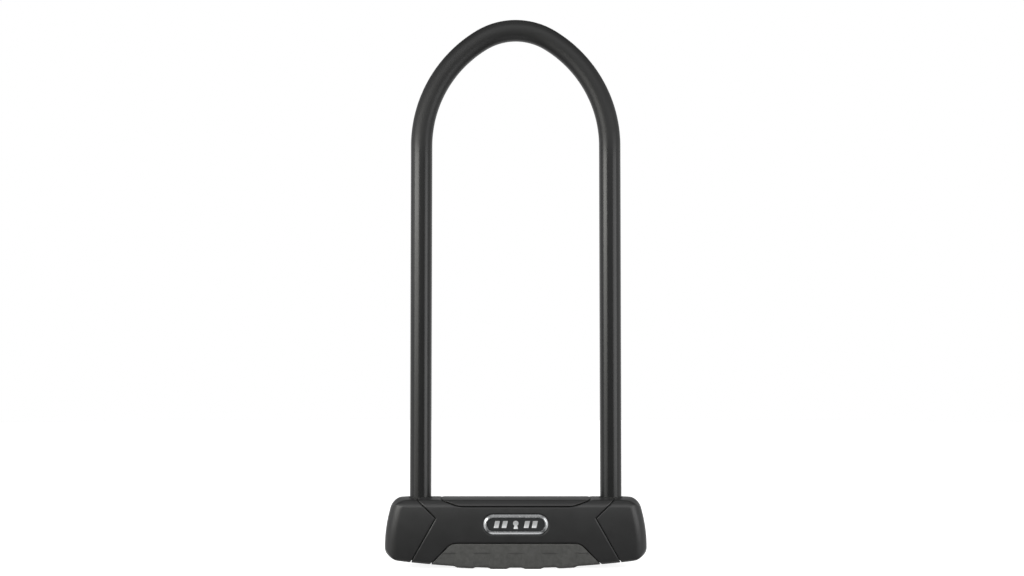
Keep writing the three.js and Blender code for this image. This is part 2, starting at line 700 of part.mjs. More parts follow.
function shutterSpring() {
  const { from, to, z, radius, wire, turns } = SPRING;
  const section = new THREE.Shape().absarc(0, 0, wire, 0, 2 * Math.PI);
  const extrudePath = new Helix(to - from, radius, turns);
  const geometry = new THREE.ExtrudeGeometry(section, { steps: 10 * turns, extrudePath, curveSegments: 3 });
  return solid(geometry.translate(from, 0, z));
}

// ---------- assembly ----------

const FINISHES = {
  coating: new THREE.MeshStandardMaterial({ color: 0x2b2c2c, roughness: 0.45, metalness: 0 }),
  cover: new THREE.MeshStandardMaterial({ color: 0x303132, roughness: 0.55, metalness: 0 }),
  inlay: new THREE.MeshStandardMaterial({ color: 0x2c2d2d, roughness: 0.4, metalness: 0 }),
  grip: new THREE.MeshStandardMaterial({ color: 0x565753, roughness: 0.9, metalness: 0 }),
  rubber: new THREE.MeshStandardMaterial({ color: 0x1a1a1a, roughness: 0.8, metalness: 0 }),
  chrome: new THREE.MeshStandardMaterial({ color: 0xc4c6c8, roughness: 0.25, metalness: 1 }),
  badge: new THREE.MeshStandardMaterial({ color: 0x3a3f42, roughness: 0.5, metalness: 0.3 }),
  steel: new THREE.MeshStandardMaterial({ color: 0x8f9294, roughness: 0.35, metalness: 1 }),
  hardened: new THREE.MeshStandardMaterial({ color: 0x55585b, roughness: 0.45, metalness: 1 }),
  casting: new THREE.MeshStandardMaterial({ color: 0xa2a4a5, roughness: 0.6, metalness: 0.9 }),
  nylon: new THREE.MeshStandardMaterial({ color: 0x3c3d3e, roughness: 0.6, metalness: 0 }),
  brass: new THREE.MeshStandardMaterial({ color: 0xb39a5a, roughness: 0.4, metalness: 1 }),
};

const lock = new THREE.Group();

function group() {
  const made = new THREE.Group();
  lock.add(made);
  return made;
}

function add(parent, name, finish, body) {
  const mesh = new THREE.Mesh(geometryOf(body), FINISHES[finish]);
  mesh.name = name;
  parent.add(mesh);
  return mesh;
}

// The right piece, and the same piece turned half round the upright axis as the left one.
function addPair(parent, name, finish, body) {
  add(parent, "right_" + name, finish, body);
  add(parent, "left_" + name, finish, body).rotation.z = Math.PI;
}

const shackle = group();
add(shackle, "shackle_bar", "steel", shackleBar());
add(shackle, "shackle_sleeve", "coating", shackleSleeve());

const covers = group();
add(covers, "front_cover", "cover", frontCover());
add(covers, "rear_cover", "cover", rearCover());
addPair(covers, "end_cap", "cover", endCap());
addPair(covers, "cap_screw", "steel", capScrew());
addPair(covers, "leg_seal", "rubber", legSeal());
add(covers, "top_inlay", "inlay", topInlay());
add(covers, "bottom_grip", "grip", bottomGrip());
add(covers, "badge_ring", "chrome", badgeRing());
add(covers, "badge_plate", "badge", badgePlate());

const inside = group();
add(inside, "steel_housing", "hardened", steelHousing());
addPair(inside, "end_plug", "hardened", endPlug());
addPair(inside, "end_plug_pin", "steel", endPlugPin());
addPair(inside, "leg_socket", "nylon", legSocket());
addPair(inside, "bolt_guide", "casting", boltGuide());
addPair(inside, "bolt", "hardened", bolt());
add(inside, "keeper_plate", "hardened", keeperPlate());

const cylinder = group();
add(cylinder, "cylinder_body", "brass", cylinderBody());
add(cylinder, "cylinder_pin", "steel", cylinderPin());
add(cylinder, "plug_barrel", "brass", plugBarrel());
add(cylinder, "guard_disc", "hardened", guardDisc());
add(cylinder, "sidebar", "steel", sidebar());
add(cylinder, "retaining_ring", "steel", retainingRing());
add(cylinder, "drive_cam", "steel", driveCam());
for (let i = 0; i < DISC_COUNT; i++) {
  const name = "disc_" + (i + 1);
  add(cylinder, name, "brass", disc()).position.z = BARREL_FLOOR + 0.3 + i * DISC_PITCH;
}

const keyhole = group();
add(keyhole, "keyhole_bezel", "nylon", keyholeBezel());
add(keyhole, "keyhole_shutter", "nylon", keyholeShutter());
add(keyhole, "shutter_spring", "steel", shutterSpring());

export default lock;
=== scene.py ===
"""Looks of a U lock: a long coated shackle standing in its crossbar.

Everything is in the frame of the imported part: +Z up, the crossbar along X, its badge facing -Y.
The moulded pieces are made from signed distances in millimetres, which surface_net() turns into
meshes. A form is a function of x, y and z that is below 0 inside its piece.
"""

import itertools
import json
import math

import bpy
import numpy as np
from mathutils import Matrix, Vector


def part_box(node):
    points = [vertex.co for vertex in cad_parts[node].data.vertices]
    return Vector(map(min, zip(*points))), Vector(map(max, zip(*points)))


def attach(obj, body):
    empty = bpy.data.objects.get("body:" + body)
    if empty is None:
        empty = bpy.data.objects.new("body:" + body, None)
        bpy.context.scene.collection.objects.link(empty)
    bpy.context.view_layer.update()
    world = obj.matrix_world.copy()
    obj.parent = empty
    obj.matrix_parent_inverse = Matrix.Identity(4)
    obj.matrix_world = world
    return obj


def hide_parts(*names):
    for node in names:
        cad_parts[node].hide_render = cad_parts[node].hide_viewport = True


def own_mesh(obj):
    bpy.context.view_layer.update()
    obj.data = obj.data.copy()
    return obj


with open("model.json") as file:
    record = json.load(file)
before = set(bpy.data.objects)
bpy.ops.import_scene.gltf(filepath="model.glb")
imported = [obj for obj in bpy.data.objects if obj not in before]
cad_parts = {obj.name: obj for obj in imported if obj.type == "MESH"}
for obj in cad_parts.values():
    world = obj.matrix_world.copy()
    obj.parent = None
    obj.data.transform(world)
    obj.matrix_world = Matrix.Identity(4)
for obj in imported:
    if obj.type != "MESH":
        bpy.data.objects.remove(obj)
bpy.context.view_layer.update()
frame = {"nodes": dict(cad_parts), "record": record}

MM = 0.001
FAR = 500.0


def node_box(node):
    """Lowest and highest corner of a CAD node, in millimetres."""
    low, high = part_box(node)
    return np.array(low) / MM, np.array(high) / MM


# ---------- sizes, in millimetres ----------

COVER_HIGH = node_box("rear_cover")[1]
CAP_HIGH = node_box("right_end_cap")[1]
HOUSING_LOW, HOUSING_HIGH = node_box("steel_housing")
SLEEVE_LOW, SLEEVE_HIGH = node_box("shackle_sleeve")
BAR_LOW, BAR_HIGH = node_box("shackle_bar")
RING_LOW, RING_HIGH = node_box("badge_ring")
BEZEL_LOW, BEZEL_HIGH = node_box("keyhole_bezel")
SEAL_LOW, SEAL_HIGH = node_box("right_leg_seal")
SCREW_LOW, SCREW_HIGH = node_box("right_cap_screw")
SHUTTER_LOW, SHUTTER_HIGH = node_box("keyhole_shutter")
SPRING_LOW, SPRING_HIGH = node_box("shutter_spring")

# Casing: the outer form of the crossbar.
CASING_TOP = COVER_HIGH[2]
CASING_BASE = 0.75
HALF_LENGTH = CAP_HIGH[0]
HALF_DEPTH = COVER_HIGH[1]
WIDEST_Z = 13.5
SIDE_RADIUS = 90.0
BASE_RADIUS = 600.0
BASE_FLAT_HALF = 17.0
FACE_MIDDLE_Z = 25.0
FACE_BOW = 0.0035
TOP_BOW = 0.0026
RIDGE_Z = 41.6
RIDGE_ROUND = 1.9
TOP_ROUND = 0.7
TOP_CORNER = 4.8
LOW_CORNER = 7.0
LONG_EDGE_ROUND = 2.0
END_EDGE_ROUND = 8.0
FIT = 0.3
SHARP_ANGLE = math.radians(25)

# How casing() eases from the radii of its long edges to those of its ends.
END_EASE = (-8.0, 4.0)

# Seams, and the strips let into the casing.
SEAM_HALF = 0.2
SEAM_TOP = (64.3, 45.3)
SEAM_NOSE = (50.9, 32.2)
SEAM_FOOT = (69.7, -1.0)
STRIP_GAP = 0.45
INLAY = {"edge": 39.7, "half": 36.1, "slope": math.atan2(4.6, 12.9), "corner": 0.6, "up": 1}
GRIP = {"edge": 16.2, "half": 40.7, "slope": math.pi / 4, "corner": 2.0, "up": -1}
GRIP_PROUD = 0.75
GRIP_LOW_ROUND = 2.2
GRIP_TUCK = 0.035
GRIP_TUCK_Z = 8.0
RIB_PITCH = 21.5
RECESS_HALF = 4.85
RECESS_TOP = 10.3
CORE_HALF_DEPTH = 16.2
CORE_TOP = 42.2
CORE_BASE = 3.9
CORE_CHAMFER = 2.6
EDGE = 0.4
FINE_EDGE = 0.3
SEAM_EDGE = 0.6
TONGUE = {"depth": 1.4, "reach": 1.6, "gap": 0.12}
SEAL_HOLE_HALF = 7.75
SEAL_COVER_Z = 43.6
SEAL_CORNER = 3.0
BEZEL_CORNER = 4.0
INLAY_EDGE = 0.55
GRIP_EDGE = 0.6
RECESS_WIDTH_EASE = 1.4
RECESS_TOP_EASE = 0.3
RECESS_FADE = (20.0, 6.0)
RIBS_EACH_SIDE = 2

# Holes for the screws that hold the end caps.
CAP_SCREW_X = (SCREW_LOW[0] + SCREW_HIGH[0]) / 2
SCREW_HEAD_HOLE = 2.7
SCREW_SHANK_HOLE = 1.45
SCREW_SEAT_Z = 6.0

# Shackle.
LEG_X = (SLEEVE_HIGH[0] - SLEEVE_LOW[0]) / 2 - SLEEVE_HIGH[1]
SLEEVE_HALF = SLEEVE_HIGH[1]
BAR_HALF = BAR_HIGH[1]
SECTION_POWER = 2.25
ARCH_START_Z = 272.0
ARCH_TOP_Z = SLEEVE_HIGH[2] - SLEEVE_HALF
ARCH_TOP_RADIUS = 43.0
SIDE_STATIONS = 40
TOP_STATIONS = 30
LEG_STATIONS = 60
SECTION_POINTS = 72
TIP = [(0.0, 2.7), (0.25, 2.1), (0.7, 1.5), (1.4, 0.8), (2.1, 0.3), (2.8, 0.0)]
NOTCH = {"low": 23.4, "high": 34.2, "depth": 5.6, "clear": 5.0, "half_width": 10.0}

# Badge.
BADGE_Z = (RING_LOW[2] + RING_HIGH[2]) / 2
BADGE_HALF_LENGTH = RING_HIGH[0]
BADGE_HALF_HEIGHT = (RING_HIGH[2] - RING_LOW[2]) / 2
BADGE_SEAT_GAP = 0.35
BADGE_SEAT_DEPTH = 1.2
PLATE_LOW, PLATE_HIGH = node_box("badge_plate")
PLATE_BACK = PLATE_HIGH[1]
PLATE_THICKNESS = 0.7
PLATE_FACE = PLATE_BACK - PLATE_THICKNESS
PLATE_GAP = 0.2
PLATE_EDGE = 0.1
RING_WIDTH = 2.0
RING_END_POINTS = 49
RING_SLOPE_WIDTH = 1.25
RING_SLOPE_DROP = 0.85
RING_EDGE = 0.08
MARK_MIDDLES = (7.0, 12.0)
MARK_LEAN = 0.5 / 2.2
MARK_HALF_WIDTH = 1.5
MARK_HALF_HEIGHT = 2.2
KEYHOLE = {"head": 1.7, "head_rise": 0.7, "foot_half": 0.7, "flare": 0.25, "drop": 2.8}
EMBLEM_EDGE = 0.2
EMBLEM_FACE_EDGE = 0.12
EMBLEM_HOLLOW = 14.0
EMBLEM_HALF = (16.3, 3.3)

# Leg seals, cap screws, and the keyhole's bezel, shutter and spring.
SEAL_TOP = SLEEVE_LOW[2] + 2.1
SEAL = {"under": 0.2, "gap": 0.15, "bead": 0.3, "play": 0.08}
SCREW = {
    "head": 0.95,
    "round": 0.3,
    "shank_from": 0.5,
    "shank_half": 1.15,
    "socket_half": 0.95,
    "socket_depth": 0.65,
    "socket_edge": 0.08,
}
HEXAGON_TURNS = (0, math.pi / 3, -math.pi / 3)
BEZEL = {
    "edge": 0.7,
    "hole": (4.6, 4.9),
    "hole_corner": 2.0,
    "hole_edge": 0.6,
    "track": (-5.8, 18.5),
    "track_half": 5.6,
    "channel": (21.74, 1.74),
    "guard": 6.6,
    "guard_z": 4.4,
    "inner_edge": 0.1,
}
SHUTTER = {"corner": 0.5, "leaf": 1.5, "tab": 1.0, "edge": 0.2}
GROOVE = {"places": (-1.6, 0.0, 1.6), "half_length": 2.6, "radius": 0.42, "edge": 0.12}
SPRING_WIRE = 0.24
SPRING_TURNS = 6
SPRING_STATIONS = 32
SPRING_SIDES = 12

# Grid cells of the moulded pieces.
COVER_CELL = 0.4
SEAL_CELL = 0.25
SCREW_CELL = 0.12
BEZEL_CELL = 0.3
SHUTTER_CELL = 0.2
PLATE_CELL = 0.2
EMBLEM_CELL = 0.1

# ---------- signed distances ----------


def both(a, b, radius=0.0):
    """Where a and b overlap, with the edge rounded."""
    if np.isscalar(radius) and radius == 0:
        return np.maximum(a, b)
    corner = np.hypot(np.maximum(a + radius, 0), np.maximum(b + radius, 0))
    return np.minimum(-radius, np.maximum(a, b)) + corner


def either(a, b, radius=0.0):
    """What is in a or in b."""
    return -both(-a, -b, radius)


def without(a, b, radius=0.0):
    """What is in a but not in b."""
    return both(a, -b, radius)


def slab(value, low, high):
    """Between two parallel planes."""
    return np.maximum(low - value, value - high)


def block(x, y, z, low, high):
    """A box whose corners are low and high."""
    across = both(slab(x, low[0], high[0]), slab(y, low[1], high[1]))
    return both(across, slab(z, low[2], high[2]))


def rounded_box(p, q, half_p, half_q, radius):
    """A rectangle with round corners, in the plane of p and q."""
    return both(np.abs(p) - half_p, np.abs(q) - half_q, radius)


def crowned(p, q, half):
    """Section of the shackle: a square with crowned sides and full corners."""
    power = SECTION_POWER
    return (np.abs(p) ** power + np.abs(q) ** power) ** (1 / power) - half


def smooth_step(value, low, high):
    """A share that eases from 0 at low to 1 at high."""
    t = np.clip((value - low) / (high - low), 0, 1)
    return t * t * (3 - 2 * t)


def side_x(z):
    """Where the bowed end of the crossbar is at a height."""
    return HALF_LENGTH - (z - WIDEST_Z) ** 2 / (2 * SIDE_RADIUS)


def base_z(x):
    """How high the curved underside of the crossbar is at a place along it."""
    return CASING_BASE + np.maximum(0, x**2 - BASE_FLAT_HALF**2) / (2 * BASE_RADIUS)


def casing(x, y, z, proud=0.0, low_round=LONG_EDGE_ROUND):
    """The crossbar's outer form. With proud its faces and its underside stand out further."""
    across = np.abs(y)
    face = across - (HALF_DEPTH - FACE_BOW * (z - FACE_MIDDLE_Z) ** 2) - proud
    chamfer = (face + z - RIDGE_Z) * math.sqrt(0.5)
    top = z - (CASING_TOP - TOP_BOW * y**2)
    side = np.abs(x) - side_x(z)
    base = base_z(x) - z - proud
    end_share = smooth_step(side - face, *END_EASE)
    walls = both(both(face, chamfer, RIDGE_ROUND), side, END_EDGE_ROUND)
    lidded = both(walls, top, TOP_ROUND + (TOP_CORNER - TOP_ROUND) * end_share)
    return both(lidded, base, low_round + (LOW_CORNER - low_round) * end_share)


def beyond_seam(x, z):
    """Beyond the V-shaped seam of either end, as seen from the front."""
    nose = np.array(SEAM_NOSE)
    sides = []
    for corner in (SEAM_TOP, SEAM_FOOT):
        along = np.array(corner) - nose
        normal = np.array([-along[1], along[0]]) / np.hypot(*along)
        normal *= -np.sign(normal[0])
        sides.append(normal[0] * (np.abs(x) - nose[0]) + normal[1] * (z - nose[1]))
    return both(sides[0], sides[1])


def strip(x, z, shape):
    """Front view of a strip, whose ends slope away from its long edge."""
    above = shape["up"] * (shape["edge"] - z)
    slope = shape["slope"]
    end = (np.abs(x) - shape["half"]) * math.sin(slope) + above * math.cos(slope)
    return both(above, end, shape["corner"])


def core(y, z):
    """What lies under both strips."""
    half = (CORE_TOP - CORE_BASE) / 2
    return rounded_box(y, z - (CORE_TOP + CORE_BASE) / 2, CORE_HALF_DEPTH, half, CORE_CHAMFER)


def hollows(x, y, z):
    """The spaces for the steel housing, for the leg seals and for the keyhole's bezel."""
    housing = block(x, y, z, HOUSING_LOW - FIT, HOUSING_HIGH + FIT)
    leg = np.abs(x) - LEG_X
    flange_half = SEAL_HIGH[1] + FIT
    flange = both(rounded_box(leg, y, flange_half, flange_half, SEAL_CORNER), z - SEAL_COVER_Z)
    mouth = crowned(leg, y, SEAL_HOLE_HALF)
    seal = both(np.minimum(flange, mouth), HOUSING_HIGH[2] - z)
    middle = (BEZEL_LOW + BEZEL_HIGH) / 2
    half = (BEZEL_HIGH - BEZEL_LOW) / 2 + FIT
    bezel = rounded_box(x - middle[0], y - middle[1], half[0], half[1], BEZEL_CORNER)
    bezel = both(bezel, z - HOUSING_LOW[2])
    return either(either(housing, seal), bezel)


def centre_covers(x, y, z):
    """Both centre covers in one. A tongue under each seam keeps the light out."""
    skin = casing(x, y, z)
    strips = either(strip(x, z, INLAY), strip(x, z, GRIP)) - STRIP_GAP
    notches = without(strips, core(y, z) + FIT)
    form = without(skin, beyond_seam(x, z) - SEAM_HALF, SEAM_EDGE)
    tongue = without(skin + TONGUE["depth"], beyond_seam(x, z) + TONGUE["reach"])
    form = without(np.minimum(form, tongue), notches, EDGE)
    return without(form, hollows(x, y, z), EDGE)


def oval(x, z, inset=0.0):
    """Front view of the badge."""
    height = BADGE_HALF_HEIGHT - inset
    straight = BADGE_HALF_LENGTH - BADGE_HALF_HEIGHT
    return np.hypot(np.maximum(np.abs(x) - straight, 0), z - BADGE_Z) - height


def front_cover(x, y, z):
    """The front half of the centre covers, with a seat for the badge."""
    seat = both(oval(x, z, -BADGE_SEAT_GAP), y + HALF_DEPTH - BADGE_SEAT_DEPTH)
    form = without(centre_covers(x, y, z), seat, FINE_EDGE)
    return both(form, y + FIT / 2, FINE_EDGE)


def rear_cover(x, y, z):
    """The rear half of the centre covers."""
    return both(centre_covers(x, y, z), FIT / 2 - y, FINE_EDGE)


def end_cap(side):
    """A cap that is rebated over the covers' tongue, with a hole for its screw."""

    def form(x, y, z):
        screw = np.hypot(x - side * CAP_SCREW_X, y)
        head_hole = both(screw - SCREW_HEAD_HOLE, z - SCREW_SEAT_Z)
        hole = either(head_hole, both(screw - SCREW_SHANK_HOLE, z - HOUSING_LOW[2]))
        skin = casing(x, y, z)
        tongue = without(skin + TONGUE["depth"], beyond_seam(x, z) + TONGUE["reach"])
        cap = both(skin, beyond_seam(x, z) + SEAM_HALF, EDGE)
        cap = without(cap, tongue - TONGUE["gap"])
        cap = both(cap, -side * x)
        cap = without(cap, hollows(x, y, z), EDGE)
        return without(cap, hole, FINE_EDGE)

    return form


def top_inlay(x, y, z):
    """The strip along the top edge, which lies round the core."""
    form = both(casing(x, y, z), strip(x, z, INLAY), INLAY_EDGE)
    return without(form, core(y, z))


def recess(x, z):
    """How much of a finger recess is here, from 0 to 1. They repeat along the grip."""
    across = np.abs(x)
    place = np.minimum(np.round(across / RIB_PITCH), RIBS_EACH_SIDE)
    outward = across - place * RIB_PITCH
    runs_out = place == RIBS_EACH_SIDE
    reach = np.where(runs_out, np.minimum(np.abs(outward), -outward), np.abs(outward))
    width = smooth_step(reach, RECESS_HALF + RECESS_WIDTH_EASE, RECESS_HALF - RECESS_WIDTH_EASE)
    height = smooth_step(z, RECESS_TOP + RECESS_TOP_EASE, RECESS_TOP - RECESS_TOP_EASE)
    return width * height * smooth_step(z, *RECESS_FADE)


def bottom_grip(x, y, z):
    """The grip along the underside, proud of the covers between its finger recesses."""
    proud = GRIP_PROUD * (1 - recess(x, z))
    tucked = proud - GRIP_TUCK * np.maximum(GRIP_TUCK_Z - z, 0) ** 2
    skin = np.maximum(casing(x, y, z, proud, GRIP_LOW_ROUND), np.abs(y) - HALF_DEPTH - tucked)
    form = both(skin, strip(x, z, GRIP), GRIP_EDGE)
    return without(without(form, core(y, z)), hollows(x, y, z), FINE_EDGE)


# ---------- meshes ----------

SETTLING_STEPS = 3
LEAST_SLOPE = 0.25


def surface_net(form, low, high, cell):
    """Points and four-sided faces of the surface where form is 0, on a grid of cells."""
    axes = [np.arange(a - 2 * cell, b + 3 * cell, cell) for a, b in zip(low, high)]
    value = np.broadcast_to(
        form(*np.meshgrid(*axes, indexing="ij", sparse=True)), [len(a) for a in axes]
    )
    inside = value < 0
    steps = np.eye(3, dtype=int)
    loops, owners, crossings = [], [], []
    for axis in range(3):
        near = tuple(slice(0, -1) if i == axis else slice(None) for i in range(3))
        far = tuple(slice(1, None) if i == axis else slice(None) for i in range(3))
        at = np.argwhere(inside[near] != inside[far])
        first = value[tuple(at.T)]
        second = value[tuple((at + steps[axis]).T)]
        crossing = at + np.outer(first / (first - second), steps[axis])
        b, c = steps[(axis + 1) % 3], steps[(axis + 2) % 3]
        around = np.stack([at, at - b, at - b - c, at - c], axis=1)
        cells = np.ravel_multi_index(around.reshape(-1, 3).T, value.shape).reshape(-1, 4)
        owners.append(cells.ravel())
        crossings.append(np.repeat(crossing, 4, axis=0))
        loops.append(np.where((first < 0)[:, None], cells, cells[:, ::-1]))
    crossings = np.concatenate(crossings)
    ids, owner = np.unique(np.concatenate(owners), return_inverse=True)
    count = np.bincount(owner)
    middle = np.stack([np.bincount(owner, crossings[:, i]) for i in range(3)], axis=1)
    points = np.array([a[0] for a in axes]) + middle / count[:, None] * cell
    faces = np.searchsorted(ids, np.concatenate(loops))
    return settled(form, points, cell), faces.tolist()


def settled(form, points, cell):
    """The points, moved onto the surface itself in a few Newton steps."""
    reach = 0.02 * cell
    for _ in range(SETTLING_STEPS):
        value = form(*points.T)
        slope = np.stack(
            [
                (form(*(points + reach * step).T) - form(*(points - reach * step).T)) / (2 * reach)
                for step in np.eye(3)
            ],
            axis=1,
        )
        size = np.maximum((slope**2).sum(axis=1), LEAST_SLOPE)
        move = np.clip(value / size, -0.5 * cell, 0.5 * cell)
        points = points - slope * move[:, None]
    return points


def new_mesh(name, points, faces):
    """A smooth-shaded object, from points in millimetres and lists of their numbers."""
    mesh = bpy.data.meshes.new(name)
    mesh.from_pydata((np.asarray(points) * MM).tolist(), [], faces)
    mesh.validate()
    mesh.shade_smooth()
    piece = bpy.data.objects.new(name, mesh)
    bpy.context.collection.objects.link(piece)
    return piece


def placed(piece, node, body, material):
    """Dresses a new piece, which stands for the CAD node and moves with its body."""
    piece.data.materials.append(material)
    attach(piece, body)
    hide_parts(node)
    return piece


def moulded(node, form, cell, body, material, margin=0.8):
    """A fine piece that stands for a CAD node, from its signed distance."""
    low, high = node_box(node)
    net = surface_net(form, low - margin, high + margin, cell)
    return placed(new_mesh(node + "_fine", *net), node, body, material)


# ---------- materials ----------


def new_material(name):
    """A material, with its node tree and its shader."""
    material = bpy.data.materials.new(name)
    material.use_nodes = True
    return material, material.node_tree, material.node_tree.nodes["Principled BSDF"]


def noise(tree, scale, detail=3.0, roughness=0.55):
    """A noise texture, with its scale in features to the millimetre."""
    place = tree.nodes.new("ShaderNodeTexCoord")
    texture = tree.nodes.new("ShaderNodeTexNoise")
    texture.inputs["Scale"].default_value = scale / MM
    texture.inputs["Detail"].default_value = detail
    texture.inputs["Roughness"].default_value = roughness
    tree.links.new(place.outputs["Object"], texture.inputs["Vector"])
    return texture.outputs["Fac"]


def ramp(tree, factor, low, high, start=0.3, end=0.7):
    """A grey or a colour that runs from low to high as factor goes from start to end."""
    node = tree.nodes.new("ShaderNodeValToRGB")
    for stop, position, value in zip(node.color_ramp.elements, (start, end), (low, high)):
        stop.position = position
        stop.color = (*np.broadcast_to(value, 3).tolist(), 1)
    tree.links.new(factor, node.inputs["Fac"])
    return node.outputs["Color"]


def math_node(tree, operation, first, second):
    """One operation on two sockets or plain numbers."""
    node = tree.nodes.new("ShaderNodeMath")
    node.operation = operation
    for socket, value in zip(node.inputs, (first, second)):
        if isinstance(value, (int, float)):
            socket.default_value = value
        else:
            tree.links.new(value, socket)
    return node.outputs["Value"]


def eased(tree, value, start, end, low, high, kind="SMOOTHSTEP"):
    """A number that goes from low to high as value goes from start to end."""
    node = tree.nodes.new("ShaderNodeMapRange")
    node.interpolation_type = kind
    tree.links.new(value, node.inputs["Value"])
    for name, number in zip(("From Min", "From Max", "To Min", "To Max"), (start, end, low, high)):
        node.inputs[name].default_value = number
    return node.outputs["Result"]


def bumped(tree, shader, height, distance):
    """Roughens the shader's normal, by so many millimetres where height goes from 0 to 1."""
    bump = tree.nodes.new("ShaderNodeBump")
    bump.inputs["Distance"].default_value = distance * MM
    bump.inputs["Strength"].default_value = 1.0
    tree.links.new(height, bump.inputs["Height"])
    tree.links.new(bump.outputs["Normal"], shader.inputs["Normal"])


def drifting(tree, socket, drift, colour, spread):
    """Lets a colour drift either way by a share of itself."""
    dark = [c * (1 - spread) for c in colour]
    light = [c * (1 + spread) for c in colour]
    tree.links.new(ramp(tree, drift, dark, light), socket)


def moulded_plastic(name, colour, roughness, grain=4.0, depth=0.02, spread=0.12, mottle=0.04):
    """Spark-textured plastic: fine grain, with slow drifts of tone and gloss."""
    material, tree, shader = new_material(name)
    drifting(tree, shader.inputs["Base Color"], noise(tree, mottle, 4), colour, spread)
    sheen = ramp(tree, noise(tree, 0.12, 5), roughness - 0.04, roughness + 0.04)
    tree.links.new(sheen, shader.inputs["Roughness"])
    bumped(tree, shader, noise(tree, grain, 2), depth)
    return material


def metal(name, colour, roughness, grain=1.2, depth=0.01, spread=0.15):
    """Worked metal, with slow drifts of tone and gloss."""
    material, tree, shader = new_material(name)
    shader.inputs["Metallic"].default_value = 1.0
    drifting(tree, shader.inputs["Base Color"], noise(tree, 0.15, 5), colour, spread)
    sheen = ramp(tree, noise(tree, 0.6, 4), roughness - 0.06, roughness + 0.06)
    tree.links.new(sheen, shader.inputs["Roughness"])
    bumped(tree, shader, noise(tree, grain, 3), depth)
    return material


LEG_ROUGHNESS = 0.23
ARCH_ROUGHNESS = 0.45
DULL_FROM_Z = 262.0
DULL_TO_Z = 284.0


def shackle_coating():
    """A smooth coating, duller over the arch, where the bar was bent."""
    material = moulded_plastic("coating", (0.011, 0.0112, 0.0112), LEG_ROUGHNESS, 0.5, 0.004)
    tree = material.node_tree
    place = tree.nodes.new("ShaderNodeTexCoord")
    parts = tree.nodes.new("ShaderNodeSeparateXYZ")
    tree.links.new(place.outputs["Object"], parts.inputs["Vector"])
    start, end = DULL_FROM_Z * MM, DULL_TO_Z * MM
    sheen = eased(tree, parts.outputs["Z"], start, end, LEG_ROUGHNESS, ARCH_ROUGHNESS)
    tree.links.new(sheen, tree.nodes["Principled BSDF"].inputs["Roughness"])
    return material


MATERIALS = {
    "shackle_coating": shackle_coating(),
    "cover_plastic": moulded_plastic("cover", (0.0205, 0.0207, 0.0209), 0.33, 4.0, 0.012),
    "inlay_plastic": moulded_plastic("inlay", (0.0205, 0.0207, 0.021), 0.35, 4.0, 0.01),
    "grip_rubber": moulded_plastic("grip", (0.071, 0.071, 0.068), 0.75, 1.4, 0.13, 0.16, 0.35),
    "seal_rubber": moulded_plastic("seal", (0.014, 0.014, 0.014), 0.6, 2.0, 0.02),
    "badge_silver": metal("badge_chrome", (0.62, 0.63, 0.64), 0.24, 1.0, 0.002, 0.05),
    "badge_plate": moulded_plastic("badge_ground", (0.017, 0.0185, 0.0195), 0.4, 4.0, 0.01),
    "shackle_steel": metal("phosphated_steel", (0.2, 0.2, 0.205), 0.45),
    "hardened_steel": metal("blackened_steel", (0.12, 0.12, 0.125), 0.42),
    "bright_steel": metal("plated_steel", (0.55, 0.56, 0.57), 0.28),
    "zinc": metal("die_cast", (0.4, 0.41, 0.42), 0.5, 0.8, 0.03),
    "brass": metal("turned_brass", (0.55, 0.4, 0.16), 0.32),
    "nylon": moulded_plastic("nylon", (0.035, 0.035, 0.037), 0.5, 3.0, 0.015),
}

for part in frame["record"]["subparts"]:
    node = frame["nodes"][part["node"]]
    node.data.materials.clear()
    node.data.materials.append(MATERIALS[part["material_slot"]])

# ---------- the crossbar's outer pieces ----------

plastic = MATERIALS["cover_plastic"]
moulded("front_cover", front_cover, COVER_CELL, "crossbar", plastic)
moulded("rear_cover", rear_cover, COVER_CELL, "crossbar", plastic)
moulded("right_end_cap", end_cap(1), COVER_CELL, "crossbar", plastic)
moulded("left_end_cap", end_cap(-1), COVER_CELL, "crossbar", plastic)
inlay = MATERIALS["inlay_plastic"]
moulded("top_inlay", top_inlay, COVER_CELL, "crossbar", inlay)
grip = MATERIALS["grip_rubber"]
moulded("bottom_grip", bottom_grip, COVER_CELL, "crossbar", grip)

# ---------- shackle ----------


def arch_stations():
    """Points of the shackle's centre line over its arch, with their headings from +Z.

    Each side is an arc of a wide circle, and the top an arc of a narrower one that meets both.
    """
    rise = ARCH_TOP_Z - ARCH_START_Z
    top = ARCH_TOP_RADIUS
    side = (LEG_X**2 + rise**2 - 2 * rise * top) / (2 * (LEG_X - top))
    join = math.atan2(ARCH_TOP_Z - top - ARCH_START_Z, side - LEG_X)
    stations = []
    for turn in np.linspace(0, join, SIDE_STATIONS, endpoint=False):
        x = LEG_X - side + side * math.cos(turn)
        stations.append((x, ARCH_START_Z + side * math.sin(turn), turn))
    for turn in np.linspace(join, math.pi / 2, TOP_STATIONS):
        stations.append((top * math.cos(turn), ARCH_TOP_Z - top + top * math.sin(turn), turn))
    mirrored = [(-x, z, math.pi - turn) for x, z, turn in reversed(stations[:-1])]
    return stations + mirrored


def crowned_square(half):
    """Points round the section of the shackle's bar or of its coating."""
    turns = np.linspace(0, 2 * math.pi, SECTION_POINTS, endpoint=False)
    c, s = np.cos(turns), np.sin(turns)
    reach = half / crowned(c, s, 0.0)
    return np.stack([reach * c, reach * s], axis=1)


